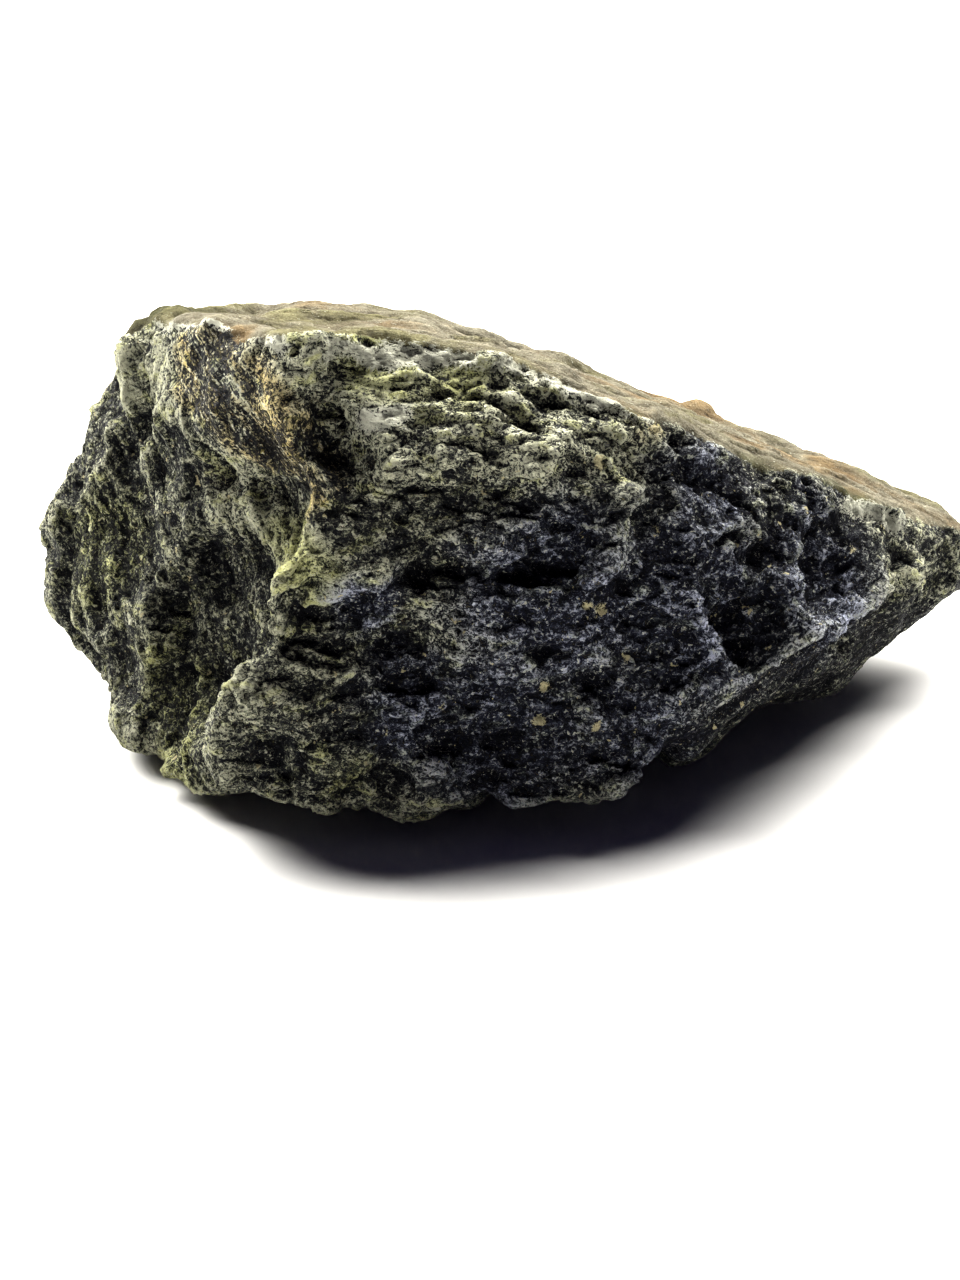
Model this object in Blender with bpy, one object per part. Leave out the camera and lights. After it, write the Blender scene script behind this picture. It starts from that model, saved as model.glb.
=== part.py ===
"""A raw piece of serpentine: one broken, wedge-shaped stone that rests on a small flat spot.

The stone starts as the convex hull of its named corners. Scars are cut back into it where flakes have
come off, dents and swellings shape the broken faces, and every face then gets the relief of broken rock:
facets, ledges along the foliation and lumps. Lengths are in millimetres until the last step. +X runs along
the stone's length to its thin tip, -Y is the fresh broken front, and +Z is up.
"""

import math

import bmesh
import bpy
import numpy as np
from mathutils import Vector, noise

MM = 0.001

# The crest is the edge between the broken front and the weathered top, from the left shoulder to the tip.
CREST = [(-29.8, 10, 32.5), (-23.9, 4, 35), (-16.8, -4, 35.6), (-8.2, -3, 34.8), (-3, -2, 34.1)]
CREST += [(2.4, -2, 33), (8.4, -3, 30.9), (14.7, -2, 27.1), (22.9, 1, 22.8), (29.9, 5, 19), (35.4, 10, 14.4)]
# The back ridge bounds the weathered top on the far side.
BACK_RIDGE = [(-29.2, 16, 32.4), (-20.8, 23, 30.9), (-10.8, 27, 29.4), (-6.5, 28, 27.6), (8.3, 28, 22.1)]
BACK_RIDGE += [(16.2, 28, 19), (22.4, 27, 16.6), (29.3, 25, 14), (38.6, 21, 11.8), (42.2, 19.5, 9.6)]
# The left end is blunt and leans out over its foot.
LEFT_END = [(-36.6, 15, 20.1), (-39.6, 15, 12.9), (-39.8, 14, 8.7), (-37.4, 13, 6.2), (-34.8, 9, 3.6)]
# The spur is the blunt vertical corner where the left face meets the front.
SPUR = [(-12.9, -11, 27.2), (-16.1, -13, 24.8), (-16.6, -14, 21.3), (-18, -16, 16.5), (-21.2, -16, 11.6)]
SPUR += [(-22, -16, 7.9), (-22.4, -14, 3.1)]
# The front leans back above this line and is steep below it.
BROW = [(-4.4, -11.5, 27.6), (3.7, -10, 28.8), (10.5, -7, 28.9)]
# The front's lower right edge hangs over a narrow underside that runs to the tip.
OVERHANG = [(10.5, -17, 5.5), (14.6, -15, 9), (18, -13, 10.7), (23.4, -9, 13.3), (30.4, -1, 13.5)]
OVERHANG += [(37.5, 12, 12.7)]
FOOT = [(-33.6, 4, 1.6), (-30.2, -7, 1.6), (-25.7, -12, 1.8), (-15.7, -17, 3.3), (-4.4, -18, 3.1)]
FOOT += [(3.8, -18, 2.6), (8.3, -17, 3.3), (15.5, -7, 3.2), (22.2, 1, 3.2), (31.6, 11, 4.6), (41.2, 19, 7.6)]
BACK_FACE = [(-30, 22, 12), (-18, 31, 12), (0, 34, 10), (16, 33, 9), (28, 28, 7), (37, 22, 5)]
UNDERSIDE = [(-16, -3, -0.5), (-17, 6, -0.5), (-9, 15, -0.5), (5, 15, -0.5), (10, 7, -0.5), (3, -6, -0.5)]
CORNERS = CREST + BACK_RIDGE + LEFT_END + SPUR + BROW + OVERHANG + FOOT + BACK_FACE + UNDERSIDE

# A scar is a bowl cut back into the stone: middle, the way it faces, its long direction, half length, half
# width and depth. Past the bowl's rim what stands above the bowl is shaved off too, up to SHAVE, and STEEP
# sets how fast the bowl's sides rise.
SHAVE = 1.7
STEEP = 1.5
LEFT_FACE = (-0.78, -0.55, 0.3)
FRONT_FACE = (0.07, -0.95, 0.3)
BROW_FACE = (0.05, -0.7, 0.7)
RIGHT_FACE = (0.4, -0.8, 0.44)
SCARS = [
    # The long hollow down the left face, close beside the spur.
    ((-23.2, -7, 16.5), LEFT_FACE, (0.34, -0.1, 1), 17, 8.4, 4.2),
    ((-19.6, -8.5, 22.5), LEFT_FACE, (0.35, 0, 1), 8, 3.5, 3.6),
    ((-24.7, -13.3, 5.9), (-0.72, -0.68, 0.1), (0.12, -0.1, 1), 8, 3.9, 2.2),
    # The left face's wide middle and its lower left.
    ((-30.2, 2.5, 17), LEFT_FACE, (0, 0.3, 1), 11, 8, 1.3),
    ((-29.8, -2, 9), LEFT_FACE, (0.5, -0.5, 0.6), 7, 4.5, 1.2),
    # The dish in the right of the front.
    ((19, -9.2, 16.9), RIGHT_FACE, (0.5, 0.2, 0.85), 7.5, 4.8, 1.6),
    ((26.4, -2.6, 17.2), (0.6, -0.6, 0.5), (1, 0.6, -0.2), 7, 3.2, 1),
    # Bites in the outline of the left end and of the back ridge.
    ((-32.8, 12, 26.6), (-0.95, -0.2, 0.3), (0, 1, 0.2), 10, 3.2, 1.6),
    ((-36.8, 8, 4.8), (-0.8, -0.3, -0.5), (0, 1, 0), 8, 3, 1.3),
    ((1.5, 28, 25.6), (0.2, 0.4, 0.9), (0.3, 1, -0.3), 12, 5.5, 1.2),
    ((20, 27, 18.6), (0.3, 0.4, 0.85), (0.3, 1, -0.3), 10, 3.6, 0.7),
    # The weathered top sinks a little between its two edges.
    ((-3, 13, 31.6), (0.3, 0.25, 0.92), (1, 0.2, -0.3), 22, 9, 1.3),
    ((-23.5, 13, 33.2), (0, 0.3, 0.95), (0.6, 1, 0), 9, 3, 1.2),
    # The back has two old, shallow scars.
    ((-12, 30, 18), (-0.1, 0.95, 0.3), (1, 0.1, 0.2), 13, 7.5, 2.6),
    ((14, 31, 13), (0.25, 0.95, 0.25), (1, -0.2, -0.25), 11, 5.5, 2),
]

# A dent presses the surface in by its depth whatever its level, and a negative depth is a swelling. The
# numbers are in the same order as a scar's. REACH is how far in front of or behind its middle a dent still
# takes hold.
REACH = 4
DENTS = [
    # The slab at the top of the spur stands proud of a crevice on its right.
    ((-18.2, -5.6, 30.6), (-0.6, -0.65, 0.45), (0.6, -0.7, -0.42), 9.5, 3.2, -0.9),
    ((-12.6, -9.4, 29.5), BROW_FACE, (0.5, -0.5, -0.75), 5, 1.7, 1.2),
    # The front's upper part is dished between the crest and the brow, with three pits.
    ((0, -9, 30), BROW_FACE, (1, 0, 0), 11, 4.5, 0.7),
    ((0.8, -8, 30), BROW_FACE, (1, 0, 0.3), 2.4, 1.3, 0.9),
    ((-2.2, -9.6, 29), BROW_FACE, (1, 0, -0.5), 2.2, 1.5, 0.8),
    ((12.2, -7.2, 27.4), (0.4, -0.7, 0.6), (1, 0, -0.2), 4.2, 2, 1.4),
    # A streaked lens and a round lobe over a long crack, with a shelf below it.
    ((-2.6, -12.3, 24), FRONT_FACE, (1, 0, -0.06), 7, 2.4, -0.8),
    ((-10, -14, 21.7), FRONT_FACE, (1, 0, 0), 3.3, 2.2, -0.9),
    ((-2.4, -13.4, 20.8), FRONT_FACE, (1, 0, 0.05), 5.6, 1.3, 1.7),
    ((5.2, -12.8, 21.6), FRONT_FACE, (1, 0, 0.35), 4.4, 1.3, 1.6),
    ((-2, -14.4, 18.2), FRONT_FACE, (1, 0, 0), 9.5, 1.3, -0.7),
    ((7.6, -11, 24), RIGHT_FACE, (1, 0, 0.4), 4.5, 1.2, 1.2),
    ((-9.4, -14.7, 18.2), FRONT_FACE, (1, 0, 0.3), 2.4, 1.5, -0.6),
    ((-1.5, -14.8, 15.4), FRONT_FACE, (1, 0, -0.3), 4, 2.3, -0.7),
    # The dish is deepest along its left side, under a raised rim, and holds a small block.
    ((16.9, -10.6, 16.4), RIGHT_FACE, (0.15, -0.3, 1), 5, 1.8, 1.5),
    ((13.9, -12.7, 15.2), RIGHT_FACE, (0.1, -0.1, 1), 5, 1.3, -0.9),
    ((22.4, -6.7, 16.6), RIGHT_FACE, (0.3, 0, 1), 2.9, 2.3, -1),
    ((19.6, -6.4, 20.3), (0.55, -0.65, 0.5), (1, 0.2, -0.2), 5, 1.2, 1.3),
    # The edge of the overhang stands out as a ridge.
    ((22.8, -9.6, 12.6), (0.6, -0.75, 0.1), (0.72, 0.66, 0.2), 10.5, 1.5, -1),
    # Pits low in the front.
    ((-8.7, -15.8, 15), FRONT_FACE, (1, 0, 0), 2.9, 2.2, 1.4),
    ((2.8, -14.8, 14.8), FRONT_FACE, (1, 0, 0.5), 1.8, 1.4, 1.2),
    ((6.4, -15.2, 12.5), FRONT_FACE, (1, 0, 0.1), 3.2, 1.5, 1.1),
    ((0.1, -16.8, 9.2), FRONT_FACE, (1, 0, -0.6), 2.9, 1.7, 1.2),
    ((-5.6, -17.2, 8.4), FRONT_FACE, (1, 0, -0.3), 3, 1.7, 1.2),
    ((11.5, -16, 8.6), (0.3, -0.9, 0.2), (1, 0, 0.5), 3.4, 1.4, 1),
    # The front's left lobe: its raised rim, a round hollow low on it and a groove over it.
    ((-19.2, -16, 11.6), (-0.4, -0.9, 0.1), (0.4, 0, 1), 6, 1.6, -0.8),
    ((-18.2, -16.5, 7.8), (0, -1, 0.05), (0.2, 0, 1), 3.4, 3, 1.6),
    ((-15.8, -14.6, 19), FRONT_FACE, (-0.3, 0, 1), 4.2, 1.7, 1.3),
    ((-13.4, -15.4, 14.4), FRONT_FACE, (1, 0, 0.4), 3, 1.7, -0.7),
    # The underside sinks a little on both sides of its flat.
    ((25, 14, 4), (0.2, -0.1, -1), (1, 0.7, 0.1), 9, 5, 1),
    ((-13, -12, 1.6), (0, -0.35, -0.95), (1, 0, 0), 9, 3.5, 0.8),
]

# Bowls and dents are bent out of shape by this much, over these wavelengths, so that none is a plain oval.
BENDS = [(6, 2.2), (2.6, 1.3)]

SEED = 8

# The rock splits along its foliation, which leans back like the front.
FOLIATION = Vector((-0.05, -0.82, 0.57)).normalized()
DIP = Vector((1, 0, 0)).cross(FOLIATION).normalized()
STRIKE = FOLIATION.cross(DIP)
LEDGE_STEP = 3.1
# The share of a step that is flat tread, and how far treads and layers stand out.
LEDGE_TREAD = 0.8
LEDGE_SHARE = 0.5
LEDGE_BAND = 0.6
# The ledges waver by these wavelengths and amounts, and come and go in patches of this size and contrast.
LEDGE_WARPS = [(9, 1.6), (4, 0.8)]
PATCH_SIZE = 11
PATCH_CONTRAST = 1.6
PATCH_PLACE = Vector((7, 3, 5))
# Facets are flat patches of the break, longer along the foliation than across it: size along and across, how
# far a patch stands out or back, and how much it tilts. The two draws keep a patch's level and tilt
# independent.
FACETS = [(9, 5.5, 1, 0.3), (4.4, 2.8, 0.45, 0.3)]
LEVEL_DRAW = 3.77
TILT_DRAW = 7.31
# Lumps: wavelength and height.
LUMPS = [(13, 0.7), (5, 0.35)]
# The whole surface stands out by this much, which makes up for what the remeshing rounds off the edges.
GROWTH = 0.45
# The breaks facing this way are fresh. The weathered top and back have only this share of their roughness.
FRESH_SIDE = (-0.45, -0.9, -0.3)
FRESH_RISE = (-0.35, -0.05)
WEATHERED = 0.5

# The relief comes in between these heights over the resting plane, its hollows from this share on.
FOOT_BAND = (0.3, 3)
FOOT_HOLLOW = 0.4

# Two rounds of smoothing blunt the sharpest points.
SMOOTHING = {"factor": 0.5, "iterations": 2}
FIRST_GRAIN = 0.8
SECOND_GRAIN = 0.6
TRIANGLES = 9300
# Corners this close to the resting plane are laid on it.
SNAP = 0.15
NEAR = 0.001

SERPENTINE = (0.055, 0.065, 0.05, 1)
ROUGHNESS = 0.75


def hull_mesh(corners):
    """The convex hull of the corners, as a mesh."""
    shape = bmesh.new()
    for corner in corners:
        shape.verts.new(corner)
    hull = bmesh.ops.convex_hull(shape, input=shape.verts)
    spare = set(hull["geom_interior"] + hull["geom_unused"])
    bmesh.ops.delete(shape, geom=[point for point in shape.verts if point in spare], context="VERTS")
    mesh = bpy.data.meshes.new("stone")
    shape.to_mesh(mesh)
    shape.free()
    return mesh


def apply(kind, **settings):
    """Runs one modifier on the stone and keeps its result."""
    modifier = stone.modifiers.new("step", kind)
    for name, value in settings.items():
        setattr(modifier, name, value)
    graph = bpy.context.evaluated_depsgraph_get()
    graph.update()
    result = bpy.data.meshes.new_from_object(stone.evaluated_get(graph))
    stone.modifiers.clear()
    stone.data = result


def remesh(grain):
    """Covers the stone evenly with small squares, which also clears any overlap."""
    apply("REMESH", mode="VOXEL", voxel_size=grain, adaptivity=0)


def read_spots():
    """The stone's corner points, one row each."""
    spots = np.empty(len(stone.data.vertices) * 3)
    stone.data.vertices.foreach_get("co", spots)
    return spots.reshape(-1, 3)


def read_normals():
    """The outward direction at each corner point."""
    normals = np.empty(len(stone.data.vertices) * 3)
    stone.data.vertices.foreach_get("normal", normals)
    return normals.reshape(-1, 3)


def write_spots(spots):
    """Puts the corner points back."""
    stone.data.vertices.foreach_set("co", spots.ravel())
    stone.data.update()


def smoothstep(value, low, high):
    """0 below low, 1 above high and a smooth rise between."""
    share = np.clip((value - low) / (high - low), 0, 1)
    return share * share * (3 - 2 * share)


def bend(spots):
    """Every point moved a little sideways in a smooth, uneven way."""
    shifts = np.zeros_like(spots)
    for wave, swing in BENDS:
        shifts += swing * np.array([noise.noise_vector(Vector(spot) / wave) for spot in spots])
    return spots + shifts


def bowl_frame(spots, bent, middle, facing, along, length, width):
    """The way a bowl faces, and each point's height over its middle and distance from it, 1 on the rim."""
    out = np.array(Vector(facing).normalized())
    across = np.array(Vector(facing).cross(Vector(along)).normalized())
    along = np.cross(across, out)
    offset = bent - np.array(middle)
    reach = (offset @ along / length) ** 2 + (offset @ across / width) ** 2
    return out, (spots - np.array(middle)) @ out, reach


def cut_scar(spots, bent, middle, facing, along, length, width, depth):
    """Lowers the points inside one bowl onto it."""
    out, height, reach = bowl_frame(spots, bent, middle, facing, along, length, width)
    bowl = depth * (reach**STEEP - 1)
    proud = (reach < SHAVE) & (height > bowl)
    spots[proud] -= np.outer(height - bowl, out)[proud]


def press_dent(spots, bent, middle, facing, along, length, width, depth):
    """Moves the points inside one dent inwards, most of all at its middle."""
    out, height, reach = bowl_frame(spots, bent, middle, facing, along, length, width)
    inside = (reach < 1) & (abs(height) < REACH)
    spots[inside] -= np.outer(depth * (1 - reach**STEEP), out)[inside]


def facet(spot, size, thickness, stand, tilt):
    """How far the flat patch at this spot stands out: each cell has a level and a slope of its own."""
    cell_spot = Vector((spot.dot(STRIKE) / size, spot.dot(DIP) / size, spot.dot(FOLIATION) / thickness))
    cell = noise.voronoi(cell_spot)[1][0]
    chance = noise.cell_vector(cell * TILT_DRAW) - Vector((0.5, 0.5, 0.5))
    level = noise.cell(cell * LEVEL_DRAW) - 0.5
    return stand * level + tilt * size * chance.dot(cell_spot - cell)


def ledge(spot, facing_share):
    """How far a ledge along the foliation lifts this spot: flat treads with short steep risers between."""
    warp = sum(swing * noise.noise(spot / wave) for wave, swing in LEDGE_WARPS)
    layer = (spot.dot(FOLIATION) + warp) / LEDGE_STEP
    share = layer - math.floor(layer)
    riser = max(0, share - LEDGE_TREAD) / (1 - LEDGE_TREAD)
    tread = (riser - share + LEDGE_TREAD / 2) * LEDGE_STEP * facing_share
    band = noise.cell(Vector((math.floor(layer + (1 - LEDGE_TREAD) / 2) + 0.5, 0.5, 0.5))) - 0.5
    patchy = max(0, min(1, 0.5 + PATCH_CONTRAST * noise.noise(spot / PATCH_SIZE + PATCH_PLACE)))
    return patchy * (LEDGE_SHARE * tread + LEDGE_BAND * band * (1 - abs(facing_share)))


def relief(spot, normal, fresh):
    """The height of the broken rock's surface over the plain form at one spot."""
    rough = WEATHERED + (1 - WEATHERED) * fresh
    height = GROWTH + ledge(spot, normal.dot(FOLIATION)) * rough
    for size, thickness, stand, tilt in FACETS:
        height += rough * facet(spot, size, thickness, stand, tilt)
    for wave, swing in LUMPS:
        height += rough * swing * noise.noise(spot / wave)
    return height


def roughen():
    """Moves every corner point in or out by the relief."""
    spots = read_spots()
    normals = read_normals()
    fresh = smoothstep(normals @ np.array(FRESH_SIDE), *FRESH_RISE)
    rows = zip(spots, normals, fresh)
    heights = np.array([relief(Vector(spot), Vector(normal), share) for spot, normal, share in rows])
    # Near the resting plane little stands out and only shallow hollows go in, so that the flat is one piece.
    above = smoothstep(spots[:, 2], *FOOT_BAND)
    calm = np.where(heights > 0, above, FOOT_HOLLOW + (1 - FOOT_HOLLOW) * above)
    write_spots(spots + normals * (heights * calm)[:, None])


def on_plane(part):
    """Whether an edge or a face lies in the resting plane."""
    return all(abs(point.co.z) < NEAR for point in part.verts)


def cut_flat():
    """Cuts the stone at the resting plane and closes it with one flat face."""
    shape = bmesh.new()
    shape.from_mesh(stone.data)
    for point in shape.verts:
        if abs(point.co.z) < SNAP:
            point.co.z = 0
    everything = shape.verts[:] + shape.edges[:] + shape.faces[:]
    bmesh.ops.bisect_plane(shape, geom=everything, dist=NEAR, plane_no=(0, 0, 1), clear_inner=True)
    bmesh.ops.delete(shape, geom=[face for face in shape.faces if on_plane(face)], context="FACES")
    bmesh.ops.delete(shape, geom=[edge for edge in shape.edges if edge.is_wire], context="EDGES")
    bmesh.ops.delete(shape, geom=[point for point in shape.verts if not point.link_faces], context="VERTS")
    bmesh.ops.edgeloop_fill(shape, edges=[edge for edge in shape.edges if edge.is_boundary])
    for point in shape.verts:
        if abs(point.co.z) < NEAR:
            point.co.z = 0
    bmesh.ops.recalc_face_normals(shape, faces=shape.faces)
    shape.to_mesh(stone.data)
    shape.free()


def place_stone():
    """Puts the middle of the stone's box over the origin and turns its lengths into metres."""
    spots = read_spots()
    middle = (spots.min(axis=0) + spots.max(axis=0)) / 2
    middle[2] = 0
    write_spots((spots - middle) * MM)
    return middle


def serpentine():
    """Dull dark green-grey rock."""
    material = bpy.data.materials.new("serpentine")
    material.use_nodes = True
    shader = material.node_tree.nodes["Principled BSDF"]
    shader.inputs["Base Color"].default_value = SERPENTINE
    shader.inputs["Roughness"].default_value = ROUGHNESS
    shader.inputs["Metallic"].default_value = 0
    return material


noise.seed_set(SEED)
for old in list(bpy.data.objects):
    bpy.data.objects.remove(old)
stone = bpy.data.objects.new("stone", hull_mesh(CORNERS))
bpy.context.scene.collection.objects.link(stone)
remesh(FIRST_GRAIN)
for cut, bowls in [(cut_scar, SCARS), (press_dent, DENTS)]:
    carved = read_spots()
    bent = bend(carved)
    for bowl in bowls:
        cut(carved, bent, *bowl)
    write_spots(carved)
    remesh(SECOND_GRAIN)
roughen()
apply("SMOOTH", **SMOOTHING)
remesh(SECOND_GRAIN)
apply("DECIMATE", ratio=TRIANGLES / (2 * len(stone.data.polygons)))
cut_flat()
SHIFT_MM = tuple(-place_stone())
stone.data.materials.clear()
stone.data.materials.append(serpentine())
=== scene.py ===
"""The looks of a raw serpentine stone: its fine broken surface and its colours, on a pale floor.

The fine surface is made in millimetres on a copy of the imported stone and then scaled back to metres.
+X runs to the thin tip, -Y is the fresh broken front and +Z is up.
"""

import math

import bmesh
import bpy
import numpy as np
from mathutils import Matrix, Vector, noise


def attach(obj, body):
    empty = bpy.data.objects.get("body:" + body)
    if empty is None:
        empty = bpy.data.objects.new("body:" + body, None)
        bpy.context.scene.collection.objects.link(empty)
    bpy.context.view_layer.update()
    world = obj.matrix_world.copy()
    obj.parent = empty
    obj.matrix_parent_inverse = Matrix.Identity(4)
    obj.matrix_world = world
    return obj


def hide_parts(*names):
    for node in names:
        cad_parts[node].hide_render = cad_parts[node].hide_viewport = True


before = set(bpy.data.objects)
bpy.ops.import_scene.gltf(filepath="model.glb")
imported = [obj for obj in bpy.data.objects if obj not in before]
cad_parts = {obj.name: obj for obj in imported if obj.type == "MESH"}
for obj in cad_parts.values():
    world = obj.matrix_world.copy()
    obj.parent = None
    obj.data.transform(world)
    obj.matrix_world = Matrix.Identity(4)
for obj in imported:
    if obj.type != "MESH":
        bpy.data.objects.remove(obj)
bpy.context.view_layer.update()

MM = 0.001

# The camera looks down at the front from this height, in degrees. FRAME_MM_PER_PX is how much of the
# stone one pixel of the 960 x 1280 picture covers at the aim.
ELEVATION = 24
DISTANCE_MM = 220
AIM_MM = Vector((-3.4, -8, 9.4))
FRAME_MM_PER_PX = 0.08
FRAME_HEIGHT_PX = 1280
SENSOR_MM = 36

# Two wide soft lights come from above and behind, one on each side: where from, how strong and how wide
# in degrees. They over-expose the pale floor, and the light it throws back shows the front.
SUNS = [((0.5, 0.9, 1), 11.5, 44), ((-1, 1, 1), 10, 40)]
SUN_COLOUR = (1, 0.98, 0.93)
ROOM_STRENGTH = 0.045
ROOM = (0.5, 0.42, 1, 1)
# Below 1 this deepens the darks, as the photograph's own processing does.
GAMMA = 0.78
FLOOR_SIZE = 3
FLOOR = (0.86, 0.86, 0.86, 1)
FLOOR_ROUGHNESS = 0.9

# The grid that the fine surface is made on, and how many triangles are kept of it.
GRID_MM = 0.26
JOIN_MM = 0.001
TRIANGLES = 195000
SOFTEN_SHARE = 0.5
SOFTEN_ROUNDS = 5

# How far a point's surroundings reach, in rounds of blurring: those that say which way the stone faces
# there, and those that an edge or a ridge stands out from.
BROAD_ROUNDS = 60
EDGE_ROUNDS = 10
RIDGE_ROUNDS = 90
# From the deepest hollow to the sharpest edge or ridge that the painted shade and highlight tell apart.
EDGE_MM = 0.3
RIDGE_MM = 1.4


def axes_along(first, second):
    """Three square directions: along the first, near the second, and across both."""
    first = Vector(first).normalized()
    third = first.cross(Vector(second)).normalized()
    return first, third.cross(first), third


# The axes that grains and chips are drawn out along, and how long they are along each. The rock splits
# into plates along its foliation. The fibres of the left face run down to the right, and so do the
# streaks of the brown slab above it. Along the lower right edge the plates follow the edge.
PLATES = axes_along((1, -0.05, 0.02), (0, 0.57, 0.82)), (2.1, 1, 0.75)
FIBRES = axes_along((0.5, -0.35, -0.9), (1, 0, 0.5)), (3.4, 1, 1)
STREAKS = axes_along((0.52, -0.7, -0.49), (0.8, 0.6, 0)), (8, 0.8, 0.8)
SWEEPS = axes_along((0.66, 0.73, 0.15), (0.3, -0.5, 0.8)), (5, 1, 0.8)

# The crest, where the fresh front meets the weathered top.
CREST = [
    (-40, 10, 30), (-30, 4.3, 31.8), (-25, -5.3, 34.8), (-17.9, -12.7, 35.6), (-9.4, -10.9, 34.2),
    (1.2, -10.3, 32.7), (8.7, -11.5, 29.7), (18.4, -8, 23.9), (28.7, -3.1, 18.2), (40, 8, 12),
]
# The middle of the brown slab, and the ridge above the lower right edge.
SLAB = [(-25, -5.5, 32), (-18.5, -14.5, 28.5), (-16.5, -17, 26.5)]
EDGE = [(13.7, -20.4, 7.8), (18.2, -16.9, 9.2), (22.3, -15, 12.3), (28.6, -8.4, 13.9), (33.9, 1.9, 12.3)]

# Where each zone starts and where it is full. The rind goes by how far the surface faces up and back and
# by how far it is behind the crest, and the left face by how far the surface faces left. The band below
# the lower right edge goes by how far the surface faces down, starts towards the right and fades towards
# the back. The sweep and the slab are full at their lines and fade between these distances from them.
RIND_FACING = 0.4, 0.7
RIND_BEHIND_MM = -0.6, 0.6
LEFT_FACING = -0.05, 0.25
BAND_FACING = 0.15, 0.35
BAND_LEFT_MM = 5, 12
BAND_BACK_MM = 8, 12
SWEEP_MM = 2, 5
SLAB_MM = 2.6, 4.4

# The stretches along the crest that are chipped pale, made paler still as a painted highlight where the crest
# catches the light.
PALE_LIT_CREST = [
    [(-29, 3, 32.8), (-25, -4.3, 35.2), (-21.5, -6.8, 35.6), (-17.9, -12, 35.9), (-14.5, -12, 35)],
    [(-14.5, -12, 35), (-9.4, -11, 34.3), (-6, -11, 34)],
    [(-11.6, -15.9, 30.9), (-9.4, -15.4, 31.6)],
    [(-6, -11, 34), (1.2, -10.5, 32.7), (5.7, -11.3, 30.9), (9, -11.5, 29.7)],
    [(26, -5, 19.8), (30, -1, 17)],
]
PALE_LIT_CREST_WIDTH = 1.6

# Hollows with a sharp upper lip: the middle, half the length, half the height, the length's turn from
# level in degrees, and the depth.
NOTCHES = [
    ((-14, -14.9, 29), 2.8, 0.5, -52, 0.45),
    ((-17.2, -21.9, 18.2), 1.7, 0.9, 80, 0.8),
    ((-17.9, -25.2, 9.9), 2.4, 1.2, -30, 0.1),
    ((-10.3, -21, 14.4), 3.4, 0.9, -20, 0.2),
    ((-0.3, -15.7, 30.1), 2, 0.7, 12, 0.8),
    ((-4, -18.2, 29.1), 1.9, 1.1, 20, 0.8),
    ((1.5, -19.1, 28.6), 1.5, 0.5, 10, 0.4),
    ((7.6, -18.6, 24.5), 2.8, 0.6, -5, 0.5),
    ((-6.9, -20.7, 20.5), 2.4, 0.8, 0, 0.9),
    ((-0.8, -21.4, 20), 2.6, 0.9, 14, 0.9),
    ((1.9, -20.3, 20.4), 2, 0.8, 5, 0.7),
    ((1.1, -22.4, 14.6), 2.4, 0.7, 15, 0.45),
    ((-6.5, -24.1, 7.5), 2.6, 0.6, 5, 0.2),
    ((-1.4, -23.1, 7.5), 1.9, 0.9, 0, 0.45),
    ((12.2, -12, 27.1), 1.2, 1.3, 0, 1),
    ((15.6, -14.6, 20.5), 1.8, 0.7, 10, 1),
    ((15.6, -15.6, 16.1), 3, 1.0, 80, 0.5),
    ((18.8, -12.9, 19.1), 1.1, 0.9, 0, 0.7),
    ((24.8, -10.1, 14.4), 1.2, 0.6, 75, 0.6),
    ((31.4, -2.9, 13.9), 1.8, 1.1, 30, 0.7),
    ((7.8, -19, 19.3), 2.4, 0.4, 0, 0.5),
    ((11.1, -18.3, 19.3), 1.1, 0.6, 0, 0.6),
    ((-26.3, -10.7, 7.2), 1.5, 1.2, 0, 0.7),
    ((-31.2, -1.9, 18), 1.6, 1.1, 0, 0.6),
    ((-33.2, -4.8, 12), 1.5, 1.3, 20, 0.6),
    ((-22, -9.6, 18), 1.7, 0.6, 80, 0.5),
    ((7.7, -24.6, 5.9), 1.2, 0.6, 0, 0.5),
    ((8.2, -23.5, 8.2), 2.3, 0.6, 15, 0.6),
    ((5.2, -22, 12), 1.5, 0.8, 10, 0.5),
]
# How much further than its own size a notch looks for the surface round it.
NOTCH_REACH = 1.3

# Sharp lips that stand out: the places that they run through, and how far they stand. The colours along them
# carry a painted highlight.
LIPS = [
    ([(-18.8, -22.5, 16.8), (-21.5, -24, 15), (-22.2, -24.1, 12.5), (-22.8, -24.8, 9.8)], 0.5),
    ([(-18.6, -23.6, 14.3), (-17.4, -22.4, 15.2), (-15.9, -22.6, 15.3), (-14.1, -23.9, 14)], 0.45),
    ([(12.2, -16.5, 21.6), (14.8, -14.8, 21.4), (17.2, -13.1, 21.4)], 0.5),
    ([(15.1, -16.4, 13.8), (14, -20.2, 13.3), (11.9, -21, 11.9)], 0.45),
    ([(24.8, -10.9, 14.1), (25.5, -9.2, 15), (29.6, -5.2, 13.6)], 0.5),
    ([(-1.1, -21.5, 20.1), (0.7, -20.8, 20.8), (2, -19.9, 21.6), (1.6, -20.1, 23.1)], 0.4),
    (EDGE, 0.4),
]
LIP_WIDTH = 0.8

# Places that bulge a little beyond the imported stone: a line, how far round it and how much, in millimetres.
SWELLS = [
    ([(-29, -10, 3), (-28, -11, 3)], 8, 1.2),
    ([(5, 14, 27), (15.7, 17.6, 19.7), (27, 14, 15)], 7, 0.8),
    ([(-11, -21, 13.5), (-9.5, -21, 13.5)], 4, 1),
]

# Yellow-white grains that stand out in the front.
FLECKS = [
    (5.2, -20.8, 17.8), (1.6, -22.6, 12.4), (0.9, -23.2, 9.5), (5.3, -23.9, 9.4), (-6.4, -23.8, 11.2),
    (9.6, -16, 22.3), (5.9, -16.6, 27.5), (7.1, -21.3, 14.5), (26, -8, 17.5), (3.9, -20.9, 18.2),
]
FLECK_MM = 0.9

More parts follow.
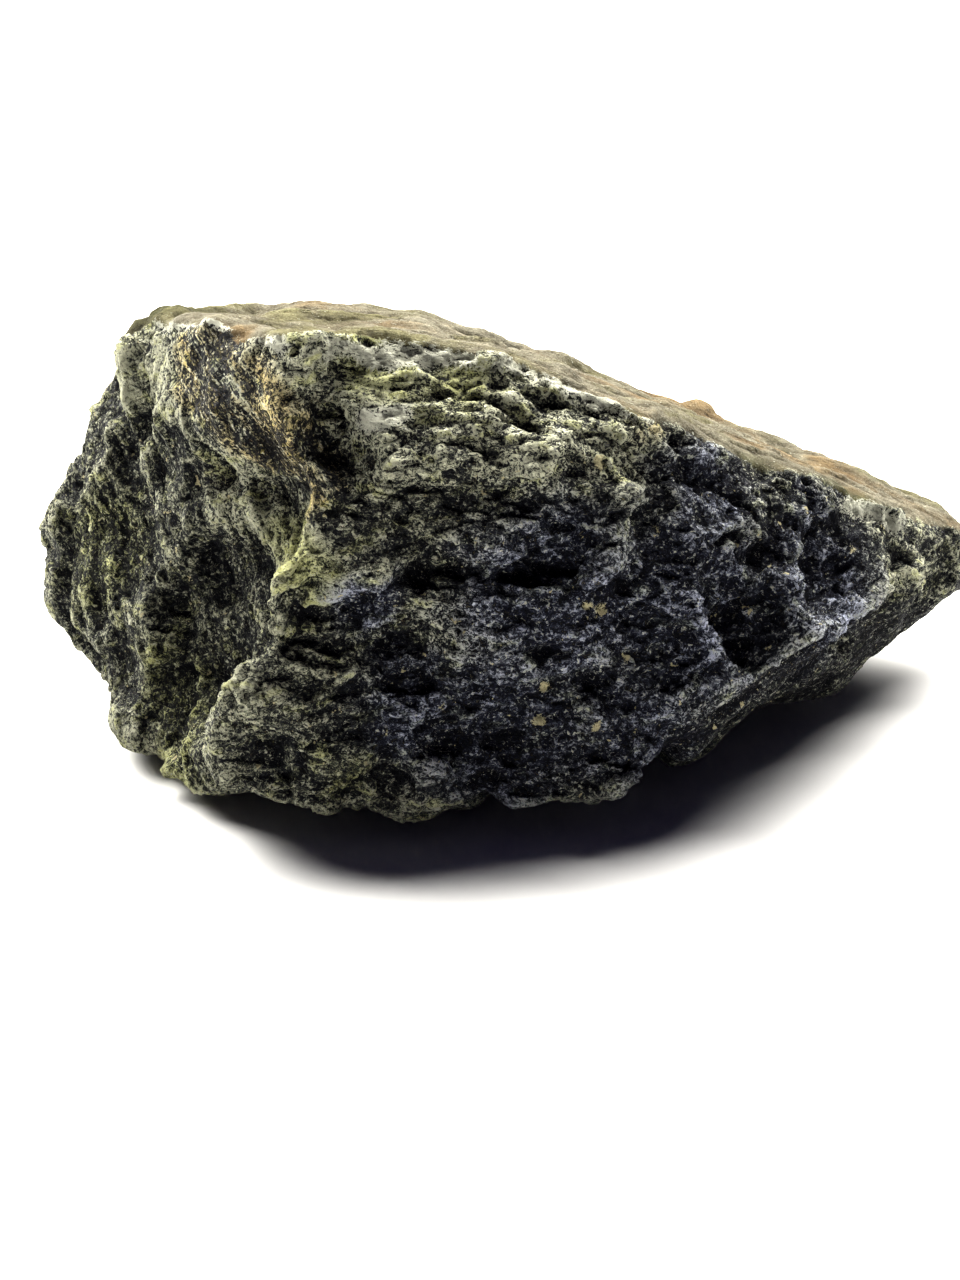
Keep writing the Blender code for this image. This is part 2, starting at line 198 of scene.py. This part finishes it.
# Where the colours gather, as places on the surface and how far they spread.
RUST_PLACES = [
    ((-24, -8, 33), 5), ((-20, -13, 30.5), 5.5), ((-16.5, -16, 27.5), 3), ((9, -12, 29), 2.5),
    ((-25, -14, 9), 2.5), ((9.4, 4, 27.2), 7), ((15.7, 15, 20), 9), ((17.7, -2.8, 24.5), 4),
    ((23, 4, 20.4), 6), ((27, 8, 18.3), 5),
]
OLIVE_PLACES = [
    ((-17.5, -16, 20.5), 5), ((-17, -21, 21), 4), ((-27, -16, 3), 6), ((-11, -11, 34), 5),
    ((-1, -9, 32.5), 4), ((-33, 0, 14), 8), ((-13, -24, 6), 3), ((8, -11, 29.5), 3),
    ((-29, 8, 33), 6), ((-28, -13, 8), 6), ((-17, 2, 34), 9), ((-5, -13, 33), 4),
]
# Paler grains, lightened further as painted light: on the upper front, which faces the light, and below the
# slab, against its shade.
PALE_PLACES = [
    ((-11, -14.5, 31), 9), ((0, -14, 30), 9), ((-19, -12, 33), 6), ((-27, -4, 31), 6),
    ((7, -14, 27), 5), ((-5, -22.5, 16.5), 4), ((-21.5, -9.5, 23), 6),
]
# The green-white rock along the spur between the left face and the front, and below the crest, made lighter
# still as a painted highlight where light falls on it.
SPUR_PLACES = [
    ((-17.5, -14, 20.4), 5), ((-15.5, -21.6, 20.5), 4.5), ((-16.6, -21.8, 22), 4),
    ((-20.5, -24.5, 12), 2.5), ((-18.5, -17.5, 25), 3), ((-31, 1, 29), 6), ((-11, -12, 33.5), 4),
    ((-5, -12, 33), 3), ((-14, -12.5, 34.5), 3),
]
# The blue-grey rock of the front's lower and right parts, tinted bluer and darker there as painted shade.
SLATE_PLACES = [
    ((2, -20, 18), 11), ((12, -17, 16), 12), ((22, -11, 15), 10), ((-2, -23, 9), 10), ((8, -20, 8), 9),
    ((14, -13, 24), 6), ((-9, -23, 11), 6), ((-12, -21, 19), 4), ((22, -7, 20), 4),
]
# Painted shade in the hollows, and the darker left end of the top.
DARK_PLACES = [
    ((18, -14, 13), 5), ((-17, -25, 8), 4), ((19, -10, 22), 6), ((26, -5, 19), 5), ((-29, 8, 33), 6),
    ((1, -21, 19.5), 3.5), ((-5, -18.5, 28.5), 2), ((11.5, -14, 25.5), 3), ((-6.5, -21, 20.5), 3),
    ((-13.5, -24.5, 9), 3), ((-1.5, -23.5, 7), 3), ((13, -17, 20), 3),
]

# The fresh rock's colour for its tone, from the blue-black matrix to the palest grains, and the rind's.
FRESH_TONES = [
    (0.0, (0.0018, 0.0021, 0.0048)),
    (0.25, (0.0075, 0.0088, 0.016)),
    (0.5, (0.046, 0.05, 0.048)),
    (0.72, (0.21, 0.215, 0.16)),
    (1.0, (0.6, 0.6, 0.46)),
]
RIND_TONES = [
    (0.0, (0.02, 0.017, 0.011)),
    (0.35, (0.11, 0.095, 0.062)),
    (0.6, (0.21, 0.192, 0.138)),
    (1.0, (0.38, 0.36, 0.28)),
]
# How much lighter each part of the fresh rock is, or darker below 0.
TONE_SHIFTS = {
    # edge and ridge: a painted highlight where the surface stands out, and painted shade in its hollows.
    "edge": 0.34,
    "ridge": 0.45,
    # spur: paler green-white rock, lightened further as a painted highlight.
    "spur": 0.36,
    # slate: blue-grey rock, darkened further as painted shade.
    "slate": -0.1,
    # dark: painted shade in the hollows.
    "dark": -0.15,
    "slab": -0.22,
    # band: painted shade on the downward-facing band along the lower right edge.
    "band": -0.34,
    # rim: a painted highlight along the lips.
    "rim": 0.12,
}
# Tints that colours are multiplied by: three on the fresh rock, and then three on the rind.
SLATE_TINT = (0.84, 0.89, 1.5, 1)
OLIVE_TINT = (1.02, 1.03, 0.68, 1)
BROWN_TINT = (1.12, 0.94, 0.66, 1)
RUST_TINT = (1, 0.79, 0.55, 1)
MOSS_TINT = (0.8, 0.8, 0.58, 1)
DARK_TINT = (0.42, 0.44, 0.26, 1)
# The palest grains, and the pale chipped crest with its painted highlight.
FLECK_COLOUR = (0.6, 0.55, 0.35, 1)
PALE_LIT_CREST_COLOUR = (0.62, 0.62, 0.52, 1)

# Grains to the millimetre: on the plates, the fibres, the sweeps and the streaks. Then the crystals.
FINE_SCALES = 8, 7.5, 7.5, 4
COARSE_SCALES = 2.3, 2, 2, 0.9
SMALL_SCALE = 4.2
TINY_SCALE = 8.5
# How far the grains' outlines wander, in millimetres, and how high the finest ones stand.
WAVER_MM = 0.8
BUMP_MM = 0.26
SHEEN = 0.2
ROUGHNESS = 0.78
GLOSSY_ROUGHNESS = 0.38
# What is taken off a noise colour, so that it points all ways.
HALF = (0.5, 0.5, 0.5)


def points_of(mesh, name="co"):
    """One row of three numbers for each corner point."""
    rows = np.empty(len(mesh.vertices) * 3, np.float32)
    mesh.vertices.foreach_get(name, rows)
    return rows.reshape(-1, 3).astype(float)


def edges_of(mesh):
    """The two corner points of each edge."""
    pairs = np.empty(len(mesh.edges) * 2, np.int32)
    mesh.edges.foreach_get("vertices", pairs)
    return pairs.reshape(-1, 2)


def apply(piece, kind, **settings):
    """Runs one modifier on the piece and keeps its result."""
    modifier = piece.modifiers.new("step", kind)
    for name, value in settings.items():
        setattr(modifier, name, value)
    graph = bpy.context.evaluated_depsgraph_get()
    graph.update()
    result = bpy.data.meshes.new_from_object(piece.evaluated_get(graph))
    piece.modifiers.clear()
    piece.data = result


def blur(values, pairs, rounds):
    """Each point's value averaged with its neighbours', this many times over."""
    count = np.bincount(pairs.ravel(), minlength=len(values))
    flat = values.reshape(len(values), -1)
    for _ in range(rounds):
        columns = []
        for column in flat.T:
            near = np.bincount(pairs[:, 0], column[pairs[:, 1]], len(values))
            near += np.bincount(pairs[:, 1], column[pairs[:, 0]], len(values))
            columns.append((column + near) / (1 + count))
        flat = np.stack(columns, 1)
    return flat.reshape(values.shape)


def rise(value, low, high):
    """0 below low, 1 above high and a smooth rise between."""
    share = np.clip((value - low) / (high - low), 0, 1)
    return share * share * (3 - 2 * share)


def waves(points, size, place):
    """Smooth noise from about -1 to 1 with lumps of this size. Another place gives other lumps."""
    return np.array([noise.noise(Vector(spot)) for spot in (points / size + place).tolist()])


def wander(points, size, places, reach):
    """A smooth offset for each point, up to about this reach, with a place for each of its directions."""
    return reach * np.stack([waves(points, size, place) for place in places], 1)


def in_frame(points, frame_of):
    """The points along these axes, in steps of these lengths."""
    axes, lengths = frame_of
    return points @ (np.array(axes) / np.array(lengths)[:, None]).T


def cells(spots, seed):
    """For each spot in cell steps: its offset from its cell's middle, three chances of the cell's own,
    and how far it is from the next cell."""
    offsets = []
    chances = []
    borders = []
    for spot in map(Vector, spots.tolist()):
        distances, middles = noise.voronoi(spot)
        offsets.append(spot - middles[0])
        chances.append(noise.cell_vector(middles[0] * seed))
        borders.append(distances[1] - distances[0])
    return np.array(offsets), np.array(chances), np.array(borders)


def chips(points, size, seed, stand, tilt):
    """Flat chips, one per cell, each at a level of its own and tilted its own way."""
    offsets, chances, _ = cells(points / size, seed)
    return stand * (chances[:, 0] - 0.5) + tilt * ((chances - 0.5) * offsets).sum(1)


def drops(points, size, seed, depth, share):
    """Chips missing from this share of the cells, some deeper than others."""
    _, chances, borders = cells(points / size, seed)
    return -depth * rise(borders, low=0, high=0.15) * (chances[:, 0] < share) * (0.5 + chances[:, 1])


def pits(points, size, seed, depth, share):
    """Round holes half a cell wide in this share of the cells, some deeper than others."""
    offsets, chances, _ = cells(points / size, seed)
    hole = np.clip(1 - 4 * (offsets**2).sum(1), 0, 1)
    return -depth * hole * (chances[:, 0] < share) * (0.4 + chances[:, 1])


def creases(points, size, seed, width, depth):
    """Cracks that wander between lens-shaped plates."""
    return -depth * (1 - rise(np.abs(waves(points, size, seed)), low=0, high=width))


def notches(points, broad):
    """Hollows that deepen upwards and end under a sharp lip, each in the plane of the surface round it."""
    depth = np.zeros(len(points))
    for middle, length, height, slant, deep in NOTCHES:
        offset = points - np.array(middle)
        near = np.flatnonzero((offset**2).sum(1) < (NOTCH_REACH * max(length, height)) ** 2)
        facing = Vector(broad[near].mean(0)).normalized()
        level = Vector((0, 0, 1)).cross(facing).normalized()
        turn = Matrix.Rotation(-math.radians(slant), 3, facing)
        along = offset[near] @ np.array(turn @ level) / length
        up = offset[near] @ np.array(turn @ facing.cross(level)) / height
        floor = rise(up, low=-1, high=0.6)
        lip = 1 - rise(up, low=0.75, high=1.05)
        depth[near] = np.maximum(depth[near], deep * (floor * lip * np.clip(1 - along**2, 0, 1)))
    return -depth


def from_line(points, line):
    """How far each point is from the line through these places."""
    nearest = np.full(len(points), np.inf)
    for start, end in zip(line, line[1:]):
        start = np.array(start, float)
        step = np.array(end, float) - start
        share = np.clip((points - start) @ step / (step @ step), 0, 1)
        nearest = np.minimum(nearest, np.linalg.norm(points - start - share[:, None] * step, axis=1))
    return nearest


def lips(points):
    """Sharp rims that stand out along their lines."""
    height = np.zeros(len(points))
    for line, stand in LIPS:
        height = np.maximum(height, stand * (1 - rise(from_line(points, line), 0, LIP_WIDTH)))
    return height


def blobs(points, places):
    """1 in the middle of any of these round places, fading to 0 at their rims."""
    result = np.zeros(len(points))
    for middle, radius in places:
        reach = np.linalg.norm(points - np.array(middle), axis=1) / radius
        result = np.maximum(result, 1 - rise(reach, low=0.35, high=1))
    return result


def relief(points, broad, zones):
    """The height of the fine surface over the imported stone, in millimetres."""
    plates = in_frame(points, PLATES)
    fibres = in_frame(points, FIBRES)
    sweeps = in_frame(points, SWEEPS)
    bent = points + wander(points, size=2, places=(2.5, 5.5, 8.5), reach=0.7)
    bent += wander(points, size=0.9, places=(1.5, 3.5, 7.5), reach=0.5)

    front = 0.2 * waves(plates, size=3.2, place=2.5)
    front += chips(plates, size=3.2, seed=3.1, stand=0.35, tilt=0.5)
    front += chips(plates, size=1.5, seed=5.7, stand=0.34, tilt=0.5)
    front += chips(plates, size=0.75, seed=7.3, stand=0.24, tilt=0.5)
    front += drops(plates, size=1.9, seed=2.3, depth=0.4, share=0.13)
    creased = rise(waves(points, size=5, place=7.5), low=-0.1, high=0.3)
    front += creases(plates, size=2.6, seed=4.5, width=0.1, depth=0.3) * creased

    side = 0.2 * waves(fibres, size=2.2, place=3.5)
    side += chips(fibres, size=1.8, seed=3.7, stand=0.25, tilt=0.35)
    side += chips(fibres, size=0.8, seed=1.9, stand=0.22, tilt=0.5)
    side += drops(fibres, size=1.4, seed=6.1, depth=0.25, share=0.08)

    swept = 0.15 * waves(sweeps, size=2.2, place=4.5)
    swept += chips(sweeps, size=1.3, seed=2.7, stand=0.3, tilt=0.35)
    swept += chips(sweeps, size=0.7, seed=6.7, stand=0.12, tilt=0.4)

    rind = 0.35 * waves(points, size=5, place=1.5) + 0.1 * waves(points, size=1.6, place=5.5)
    rind += chips(plates, size=3.6, seed=8.3, stand=0.3, tilt=0.22)
    rind += pits(points, size=1.5, seed=4.3, depth=0.18, share=0.14)
    rind += chips(points, size=0.9, seed=2.1, stand=0.07, tilt=0.14)

    # The band and the slab are smoother than the rest of the fresh rock, and the rind shows a little of it.
    rough = front + (side - front) * zones["left"]
    rough += (swept - rough) * zones["sweep"]
    rough *= (1 - 0.5 * zones["band"]) * (1 - 0.6 * zones["slab"])
    placed = notches(bent, broad) + lips(bent)
    swell = sum(height * (1 - rise(from_line(points, line), 0, reach)) for line, reach, height in SWELLS)
    return swell + rind + (rough + placed - rind) * (0.1 + 0.9 * zones["fresh"])


def zones_of(points, broad):
    """How far each point is in each zone. The zones' borders are uneven."""
    uneven = 0.5 * waves(points, size=4, place=9.5) + 0.3 * waves(points, size=1.2, place=4.5)
    crest = np.array(CREST)
    behind = points[:, 1] - np.interp(points[:, 0], crest[:, 0], crest[:, 1]) + 1.2 * uneven
    to_top = broad[:, 2] + 0.9 * broad[:, 1] + 0.2 * uneven
    to_left = -broad[:, 0] + 0.35 * broad[:, 1] + 0.2 * uneven
    across = rise(points[:, 0], *BAND_LEFT_MM) * (1 - rise(points[:, 1], *BAND_BACK_MM))
    band = rise(-broad[:, 2], *BAND_FACING) * across
    return {
        "fresh": 1 - rise(to_top, *RIND_FACING) * rise(behind, *RIND_BEHIND_MM),
        "left": rise(to_left, *LEFT_FACING),
        "band": band,
        "sweep": np.maximum(band, 1 - rise(from_line(points, EDGE), *SWEEP_MM)),
        "slab": 1 - rise(from_line(points, SLAB), *SLAB_MM),
    }


def places_of(points, pairs, normals):
    """How far each point stands out, and how near it is to each kind of place."""
    edge = ((points - blur(points, pairs, EDGE_ROUNDS)) * normals).sum(1)
    ridge = ((points - blur(points, pairs, RIDGE_ROUNDS)) * normals).sum(1)
    bent = points + wander(points, size=3, places=(1.5, 4.5, 8.5), reach=1.6)
    near = points + 0.6 * (bent - points)
    from_pale_lit_crest = np.min([from_line(near, line) for line in PALE_LIT_CREST], axis=0) / PALE_LIT_CREST_WIDTH
    lipped = np.min([from_line(near, line) for line, _ in LIPS], axis=0)
    return {
        "edge": np.clip(0.5 + edge / EDGE_MM, 0, 1),
        "ridge": np.clip(0.5 + ridge / RIDGE_MM, 0, 1),
        "rust": blobs(bent, RUST_PLACES),
        "olive": blobs(bent, OLIVE_PLACES),
        "pale": blobs(bent, PALE_PLACES),
        "slate": blobs(bent, SLATE_PLACES),
        "spur": blobs(bent, SPUR_PLACES),
        "dark": blobs(bent, DARK_PLACES),
        "white": 1 - rise(from_pale_lit_crest, low=0.2, high=1),
        "rim": 1 - rise(lipped, low=0.2, high=1.2),
        "fleck": blobs(near, [(place, FLECK_MM) for place in FLECKS]),
    }


def fine_copy():
    """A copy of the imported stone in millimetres, on a fine even grid."""
    shape = bmesh.new()
    shape.from_mesh(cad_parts["stone"].data)
    bmesh.ops.scale(shape, vec=(1 / MM,) * 3, verts=shape.verts)
    bmesh.ops.remove_doubles(shape, verts=shape.verts, dist=JOIN_MM)
    mesh = bpy.data.meshes.new("rough_stone")
    shape.to_mesh(mesh)
    shape.free()
    piece = bpy.data.objects.new("rough_stone", mesh)
    bpy.context.scene.collection.objects.link(piece)
    apply(piece, "REMESH", mode="VOXEL", voxel_size=GRID_MM, adaptivity=0)
    apply(piece, "SMOOTH", factor=SOFTEN_SHARE, iterations=SOFTEN_ROUNDS)
    return piece


def make_stone():
    """The stone with its fine surface, and the numbers at each point that its colours come from."""
    piece = fine_copy()
    points = points_of(piece.data)
    pairs = edges_of(piece.data)
    normals = points_of(piece.data, "normal")
    broad = blur(normals, pairs, BROAD_ROUNDS)
    broad /= np.linalg.norm(broad, axis=1)[:, None]
    zones = zones_of(points, broad)
    heights = relief(points, broad, zones)
    # The flat that the stone rests on stays flat.
    above = rise(points[:, 2], low=0.05, high=1.5)
    points += normals * (heights * above)[:, None]
    points[:, 2] = np.maximum(points[:, 2], 0)
    piece.data.vertices.foreach_set("co", points.astype(np.float32).ravel())
    piece.data.update()

    amounts = {**zones, **places_of(points, pairs, points_of(piece.data, "normal"))}
    for name, amount in amounts.items():
        layer = piece.data.attributes.new(name, "FLOAT", "POINT")
        layer.data.foreach_set("value", amount.astype(np.float32))
    apply(piece, "DECIMATE", ratio=min(1, TRIANGLES / (2 * len(piece.data.polygons))))
    piece.data.transform(Matrix.Scale(MM, 4))
    for face in piece.data.polygons:
        face.use_smooth = True
    return piece


class Nodes:
    """Short ways to add and join shader nodes in one material."""

    def __init__(self, name):
        self.material = bpy.data.materials.new(name)
        self.material.use_nodes = True
        self.tree = self.material.node_tree
        self.shader = self.tree.nodes["Principled BSDF"]

    def put(self, socket, value):
        """Joins an output to the socket, or sets its number or colour."""
        if isinstance(value, bpy.types.NodeSocket):
            self.tree.links.new(value, socket)
        else:
            socket.default_value = value

    def add(self, kind, inputs=(), **settings):
        """Adds a node of this kind with these settings and inputs."""
        node = self.tree.nodes.new("ShaderNode" + kind)
        for name, value in settings.items():
            setattr(node, name, value)
        for name, value in dict(inputs).items():
            self.put(node.inputs[name], value)
        return node

    def amount(self, name):
        """A number kept at the stone's points."""
        return self.add("Attribute", attribute_name=name).outputs["Fac"]

    def math(self, operation, one, other):
        """A number from two others."""
        return self.add("Math", {0: one, 1: other}, operation=operation).outputs[0]

    def scale(self, value, factor, offset=0.0):
        """value times factor, plus offset."""
        return self.add("Math", {0: value, 1: factor, 2: offset}, operation="MULTIPLY_ADD").outputs[0]

    def total(self, start, *parts):
        """The start plus the product of each (value, factor) pair."""
        for value, factor in parts:
            start = self.scale(value, factor, start)
        return start

    def mix(self, share, one, other):
        """Mixes two numbers."""
        return self.add("Mix", {0: share, 2: one, 3: other}).outputs[0]

    def vector(self, operation, one, other=None, scale=None):
        """A vector from one or two others."""
        node = self.add("VectorMath", {0: one}, operation=operation)
        if other is not None:
            self.put(node.inputs[1], other)
        if scale is not None:
            self.put(node.inputs["Scale"], scale)
        return node.outputs[0]

    def noise(self, spot, scale, detail, roughness, colour=False):
        """Cloudy noise with lumps of 1 / scale millimetres."""
        inputs = {"Vector": spot, "Scale": scale, "Detail": detail, "Roughness": roughness}
        return self.add("TexNoise", inputs).outputs["Color" if colour else "Fac"]

    def crystals(self, spot, scale):
        """A colour for each of the many cells of 1 / scale millimetres."""
        return self.add("TexVoronoi", {"Vector": spot, "Scale": scale}).outputs["Color"]

    def channels(self, colour):
        """The colour's red, green and blue."""
        return self.add("SeparateColor", {0: colour}).outputs

    def in_frame(self, spot, frame_of):
        """The place along these axes, in steps of these lengths."""
        axes, lengths = frame_of
        turn = Matrix(axes).transposed().to_euler()
        inputs = {"Vector": spot, "Rotation": turn, "Scale": lengths}
        return self.add("Mapping", inputs, vector_type="TEXTURE").outputs[0]

    def blend(self, share, one, other, kind="MIX"):
        """Mixes two colours."""
        node = self.add("Mix", data_type="RGBA", blend_type=kind)
        self.put(node.inputs[0], share)
        self.put(node.inputs[6], one)
        self.put(node.inputs[7], other)
        return node.outputs[2]

    def tint(self, share, colour, by):
        """The colour multiplied by another, as far as the share says."""
        return self.blend(share, colour, by, "MULTIPLY")

    def ramp(self, value, stops):
        """A colour for each number, from (number, colour) stops."""
        node = self.add("ValToRGB", {0: value})
        elements = node.color_ramp.elements
        while len(elements) < len(stops):
            elements.new(0.5)
        for element, (place, colour) in zip(elements, stops):
            element.position = place
            element.color = (*colour, 1)
        return node.outputs[0]

    def share(self, value, low, high):
        """0 where value is below low and 1 above high, or the other way round where low is the higher."""
        inputs = {"Value": value, "From Min": low, "From Max": high}
        return self.add("MapRange", inputs, interpolation_type="SMOOTHSTEP").outputs[0]


def drawn_out(n, spots, scales, detail, roughness):
    """Noise drawn out along the plates, and in three zones along axes of their own."""
    layers = [n.noise(spot, scale, detail, roughness) for spot, scale in zip(spots, scales)]
    result = layers[0]
    for zone, layer in zip(("left", "sweep", "slab"), layers[1:]):
        result = n.mix(n.amount(zone), result, layer)
    return result


def fresh_colour(n, spot, plates, streaks, mottle):
    """The fresh rock's tones and tints, with its palest grains and its pale chipped crest with a painted
    highlight.
    """
    tone = n.total(
        -0.33,
        (mottle, 1.1),
        (n.noise(plates, scale=0.25, detail=3, roughness=0.6), 0.4),
        (n.noise(plates, scale=0.7, detail=2, roughness=0.5), 0.45),
        # Paler grains, with painted light on the upper front.
        (n.amount("pale"), n.scale(mottle, 0.5, 0.25)),
    )
    # Among these shifts are painted shade and painted highlights.
    tone = n.total(tone, *((n.amount(name), shift) for name, shift in TONE_SHIFTS.items()))
    rock = n.ramp(tone, FRESH_TONES)

    # The blue-grey rock, tinted bluer as painted shade on the shaded front.
    rock = n.tint(n.math("MULTIPLY", n.amount("slate"), 0.9), rock, SLATE_TINT)
    clouds = n.noise(plates, scale=0.7, detail=4, roughness=0.6)
    olive = n.total(0, (n.share(clouds, low=0.52, high=0.66), 0.7), (n.amount("olive"), 0.8))
    rock = n.tint(olive, rock, OLIVE_TINT)
    streaky = n.noise(streaks, scale=0.5, detail=4, roughness=0.6)
    brown = n.math("MAXIMUM", n.amount("rust"), n.amount("slab"))
    brown = n.math("MULTIPLY", brown, n.share(streaky, low=0.36, high=0.56))
    rock = n.tint(brown, rock, BROWN_TINT)

    scattered = n.noise(n.vector("ADD", spot, (5, 5, 5)), scale=1.1, detail=3, roughness=0.6)
    placed = n.share(n.scale(mottle, 0.6, n.amount("fleck")), low=0.55, high=0.75)
    fleck = n.math("MAXIMUM", n.share(scattered, low=0.68, high=0.71), placed)
    rock = n.blend(fleck, rock, FLECK_COLOUR)
    # The pale chipped crest, with a painted highlight where it catches the light.
    pale_lit_crest_tone = n.total(-0.35, (mottle, 1), (n.amount("white"), 1))
    return n.blend(n.share(pale_lit_crest_tone, low=0, high=0.25), rock, PALE_LIT_CREST_COLOUR)


def rind_colour(n, spot, speckle):
    """The weathered rind: tan, with rusty stains, mossy patches and a darker left end."""
    tone = n.total(
        -0.75,
        # edge here and ridge below: a painted highlight where the rind stands out, and painted shade in its
        # hollows.
        (n.amount("edge"), 0.4),
        (n.noise(spot, scale=0.6, detail=4, roughness=0.6), 0.9),
        (speckle, 0.8),
        (n.noise(spot, scale=0.2, detail=2, roughness=0.5), 0.35),
        (n.amount("ridge"), 0.15),
    )
    rind = n.ramp(tone, RIND_TONES)
    stain = n.noise(spot, scale=0.13, detail=5, roughness=0.6)
    rusty = n.scale(n.amount("rust"), 0.16, stain)
    rind = n.tint(n.share(rusty, low=0.5, high=0.76), rind, RUST_TINT)
    mossy = n.scale(n.amount("olive"), -0.14, stain)
    rind = n.tint(n.share(mossy, low=0.48, high=0.32), rind, MOSS_TINT)
    # Painted shade in the hollows, and the darker left end of the top.
    return n.tint(n.amount("dark"), rind, DARK_TINT)


def rock_material():
    """Dark serpentine: pale, olive and black grains, with a tan weathered rind on the top and the back."""
    n = Nodes("serpentine")
    spot = n.vector("SCALE", n.add("TexCoord").outputs["Object"], scale=1 / MM)
    waver = n.noise(spot, scale=1.4, detail=2, roughness=0.5, colour=True)
    waver = n.vector("SCALE", n.vector("SUBTRACT", waver, HALF), scale=WAVER_MM)
    plates = n.vector("ADD", n.in_frame(spot, PLATES), waver)
    fibres = n.vector("ADD", n.in_frame(spot, FIBRES), waver)
    sweeps = n.vector("ADD", n.in_frame(spot, SWEEPS), waver)
    streaks = n.in_frame(spot, STREAKS)
    wavering = n.vector("ADD", spot, waver)

    # Grains of several sizes make the mottling.
    spots = plates, fibres, sweeps, streaks
    fine = drawn_out(n, spots, FINE_SCALES, detail=2, roughness=0.7)
    coarse = drawn_out(n, spots, COARSE_SCALES, detail=3, roughness=0.65)
    crystals = n.crystals(wavering, SMALL_SCALE)
    small, glossy, _ = n.channels(crystals)
    tiny = n.channels(n.crystals(wavering, TINY_SCALE))[0]
    mottle = n.total(-1.85, (tiny, 0.4), (small, 0.6), (coarse, 1.1), (fine, 1.6))

    speckle = n.noise(spot, scale=5, detail=4, roughness=0.7)
    fresh = n.share(n.scale(mottle, 0.8, n.amount("fresh")), low=0.35, high=0.65)
    rock = fresh_colour(n, spot, plates, streaks, mottle)
    n.put(n.shader.inputs["Base Color"], n.blend(fresh, rind_colour(n, spot, speckle), rock))
    n.shader.inputs["Specular IOR Level"].default_value = SHEEN

    # Every crystal faces its own way, most of all in the fresh rock, and some are glossy.
    facing = n.vector("SCALE", n.vector("SUBTRACT", crystals, HALF), scale=n.scale(fresh, 0.6, 0.1))
    facing = n.vector("NORMALIZE", n.vector("ADD", n.add("NewGeometry").outputs["Normal"], facing))
    height = n.total(0, (speckle, 0.5), (mottle, 0.8))
    bump = {"Height": height, "Normal": facing, "Strength": 1.0, "Distance": BUMP_MM * MM}
    n.put(n.shader.inputs["Normal"], n.add("Bump", bump).outputs[0])
    gloss = n.math("MULTIPLY", n.share(glossy, low=0.7, high=0.95), fresh)
    n.put(n.shader.inputs["Roughness"], n.scale(gloss, GLOSSY_ROUGHNESS - ROUGHNESS, ROUGHNESS))
    return n.material


def floor_material():
    """Plain pale floor."""
    n = Nodes("floor")
    n.shader.inputs["Base Color"].default_value = FLOOR
    n.shader.inputs["Roughness"].default_value = FLOOR_ROUGHNESS
    return n.material


def make_floor():
    """A wide plain floor at the level the stone rests on."""
    shape = bmesh.new()
    bmesh.ops.create_grid(shape, x_segments=1, y_segments=1, size=FLOOR_SIZE)
    mesh = bpy.data.meshes.new("floor")
    shape.to_mesh(mesh)
    shape.free()
    floor = bpy.data.objects.new("floor", mesh)
    floor.data.materials.append(floor_material())
    bpy.context.scene.collection.objects.link(floor)


def light_scene():
    """Two wide soft lights from above and behind, and an even dim room."""
    for place, strength, width in SUNS:
        lamp = bpy.data.lights.new("sun", "SUN")
        lamp.energy = strength
        lamp.angle = math.radians(width)
        lamp.color = SUN_COLOUR
        sun = bpy.data.objects.new("sun", lamp)
        sun.rotation_euler = Vector(place).to_track_quat("Z", "Y").to_euler()
        bpy.context.scene.collection.objects.link(sun)
    world = bpy.data.worlds.new("room")
    world.use_nodes = True
    background = world.node_tree.nodes["Background"]
    background.inputs["Color"].default_value = ROOM
    background.inputs["Strength"].default_value = ROOM_STRENGTH
    bpy.context.scene.world = world
    bpy.context.scene.view_settings.view_transform = "Standard"
    bpy.context.scene.view_settings.gamma = GAMMA


def place_camera():
    """The photograph's view: from the front, a little above."""
    tilt = math.radians(ELEVATION)
    back = Vector((0, -math.cos(tilt), math.sin(tilt)))
    data = bpy.data.cameras.new("camera")
    data.sensor_fit = "VERTICAL"
    data.sensor_height = SENSOR_MM
    data.lens = SENSOR_MM * DISTANCE_MM / (FRAME_HEIGHT_PX * FRAME_MM_PER_PX)
    data.clip_start = MM
    camera = bpy.data.objects.new("camera", data)
    camera.location = (AIM_MM + back * DISTANCE_MM) * MM
    camera.rotation_euler = back.to_track_quat("Z", "Y").to_euler()
    bpy.context.scene.collection.objects.link(camera)
    bpy.context.scene.camera = camera


place_camera()
light_scene()
make_floor()
stone = make_stone()
stone.data.materials.clear()
stone.data.materials.append(rock_material())
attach(stone, "root")
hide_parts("stone")
